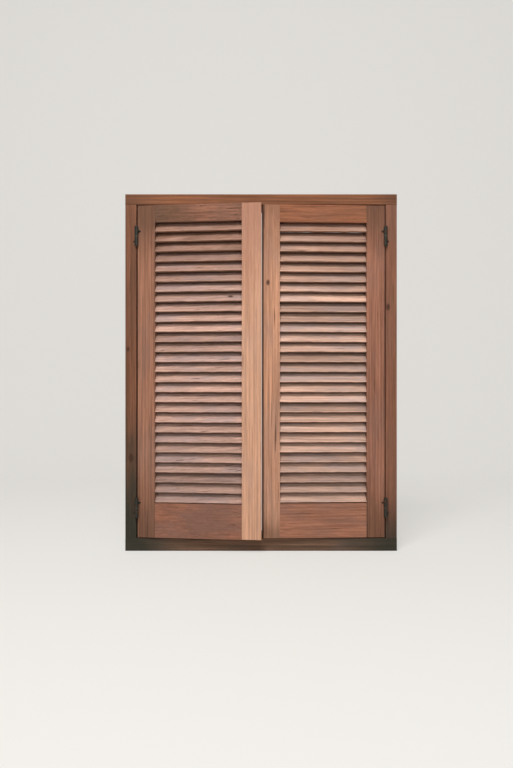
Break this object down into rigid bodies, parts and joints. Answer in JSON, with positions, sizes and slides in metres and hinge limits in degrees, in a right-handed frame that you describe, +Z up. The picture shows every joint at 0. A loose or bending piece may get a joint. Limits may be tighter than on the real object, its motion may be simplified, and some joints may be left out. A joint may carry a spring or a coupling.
{
  "type": "louvred shutters",
  "caption": "Pair of hinged wooden louvred shutter leaves with fixed sloping slats, in a rebated wooden frame with stop lips and a turning rod latch behind.",
  "frame": {"origin": "middle of the sill rail's underside, halfway through the frame's depth", "axes": "+X to the right as seen from outside, -Y out of the wall towards the viewer, +Z up"},
  "size_m": [0.95, 0.1092, 1.248],
  "materials": {
    "frame_wood": "weathered",
    "leaf_wood": "weathered",
    "slat_wood": "weathered",
    "dark_iron": "rusted matt",
    "bare_steel": "dull"
  },
  "bodies": {
    "frame": {"frame_head": "frame_wood", "frame_jamb_left": "frame_wood", "frame_jamb_right": "frame_wood", "frame_sill_rail": "frame_wood", "latch_keeper_bottom": "dark_iron", "latch_keeper_screws": "bare_steel", "latch_keeper_top": "dark_iron", "hinge_left_bottom_frame_half": "dark_iron", "hinge_left_bottom_pin": "bare_steel", "hinge_left_bottom_washer": "bare_steel", "hinge_left_top_frame_half": "dark_iron", "hinge_left_top_pin": "bare_steel", "hinge_left_top_washer": "bare_steel", "hinge_right_bottom_frame_half": "dark_iron", "hinge_right_bottom_pin": "bare_steel", "hinge_right_bottom_washer": "bare_steel", "hinge_right_top_frame_half": "dark_iron", "hinge_right_top_pin": "bare_steel", "hinge_right_top_washer": "bare_steel"},
    "leaf_left": {"latch_guide_bottom": "dark_iron", "latch_guide_middle": "dark_iron", "latch_guide_screws": "bare_steel", "latch_guide_top": "dark_iron", "leaf_left_bottom_rail": "leaf_wood", "leaf_left_hinge_stile": "leaf_wood", "leaf_left_meeting_stile": "leaf_wood", "leaf_left_slats": "slat_wood", "leaf_left_top_rail": "leaf_wood", "hinge_left_bottom_leaf_half": "dark_iron", "hinge_left_top_leaf_half": "dark_iron"},
    "leaf_right": {"handle_keeper": "dark_iron", "handle_keeper_screws": "bare_steel", "leaf_right_bottom_rail": "leaf_wood", "leaf_right_hinge_stile": "leaf_wood", "leaf_right_meeting_stile": "leaf_wood", "leaf_right_slats": "slat_wood", "leaf_right_top_rail": "leaf_wood", "hinge_right_bottom_leaf_half": "dark_iron", "hinge_right_top_leaf_half": "dark_iron"},
    "latch_rod": {"latch_rod": "dark_iron", "latch_fork": "dark_iron", "latch_finger_top": "dark_iron", "latch_finger_bottom": "dark_iron", "latch_handle_pin": "bare_steel"},
    "latch_handle": {"latch_handle": "dark_iron"}
  },
  "joints": [
    {"name": "left_leaf_swing", "type": "hinge", "parent": "frame", "child": "leaf_left", "pos_m": [-0.4345, -0.038, 0], "axis": [0, 0, -1], "range_deg": [-6.5, 93.5]},
    {"name": "right_leaf_swing", "type": "hinge", "parent": "frame", "child": "leaf_right", "pos_m": [0.4345, -0.038, 0], "axis": [0, 0, 1], "range_deg": [-2.5, 97.5]},
    {"name": "latch_rod_turn", "type": "hinge", "parent": "leaf_left", "child": "latch_rod", "pos_m": [-0.02658, -0.02208, 0], "axis": [0, 0, -1], "range_deg": [0, 90]},
    {"name": "latch_handle_lift", "type": "hinge", "parent": "latch_rod", "child": "latch_handle", "pos_m": [-0.02459, -0.00469, 0.56], "axis": [0.9936, -0.1132, 0], "range_deg": [0, 110]}
  ]
}
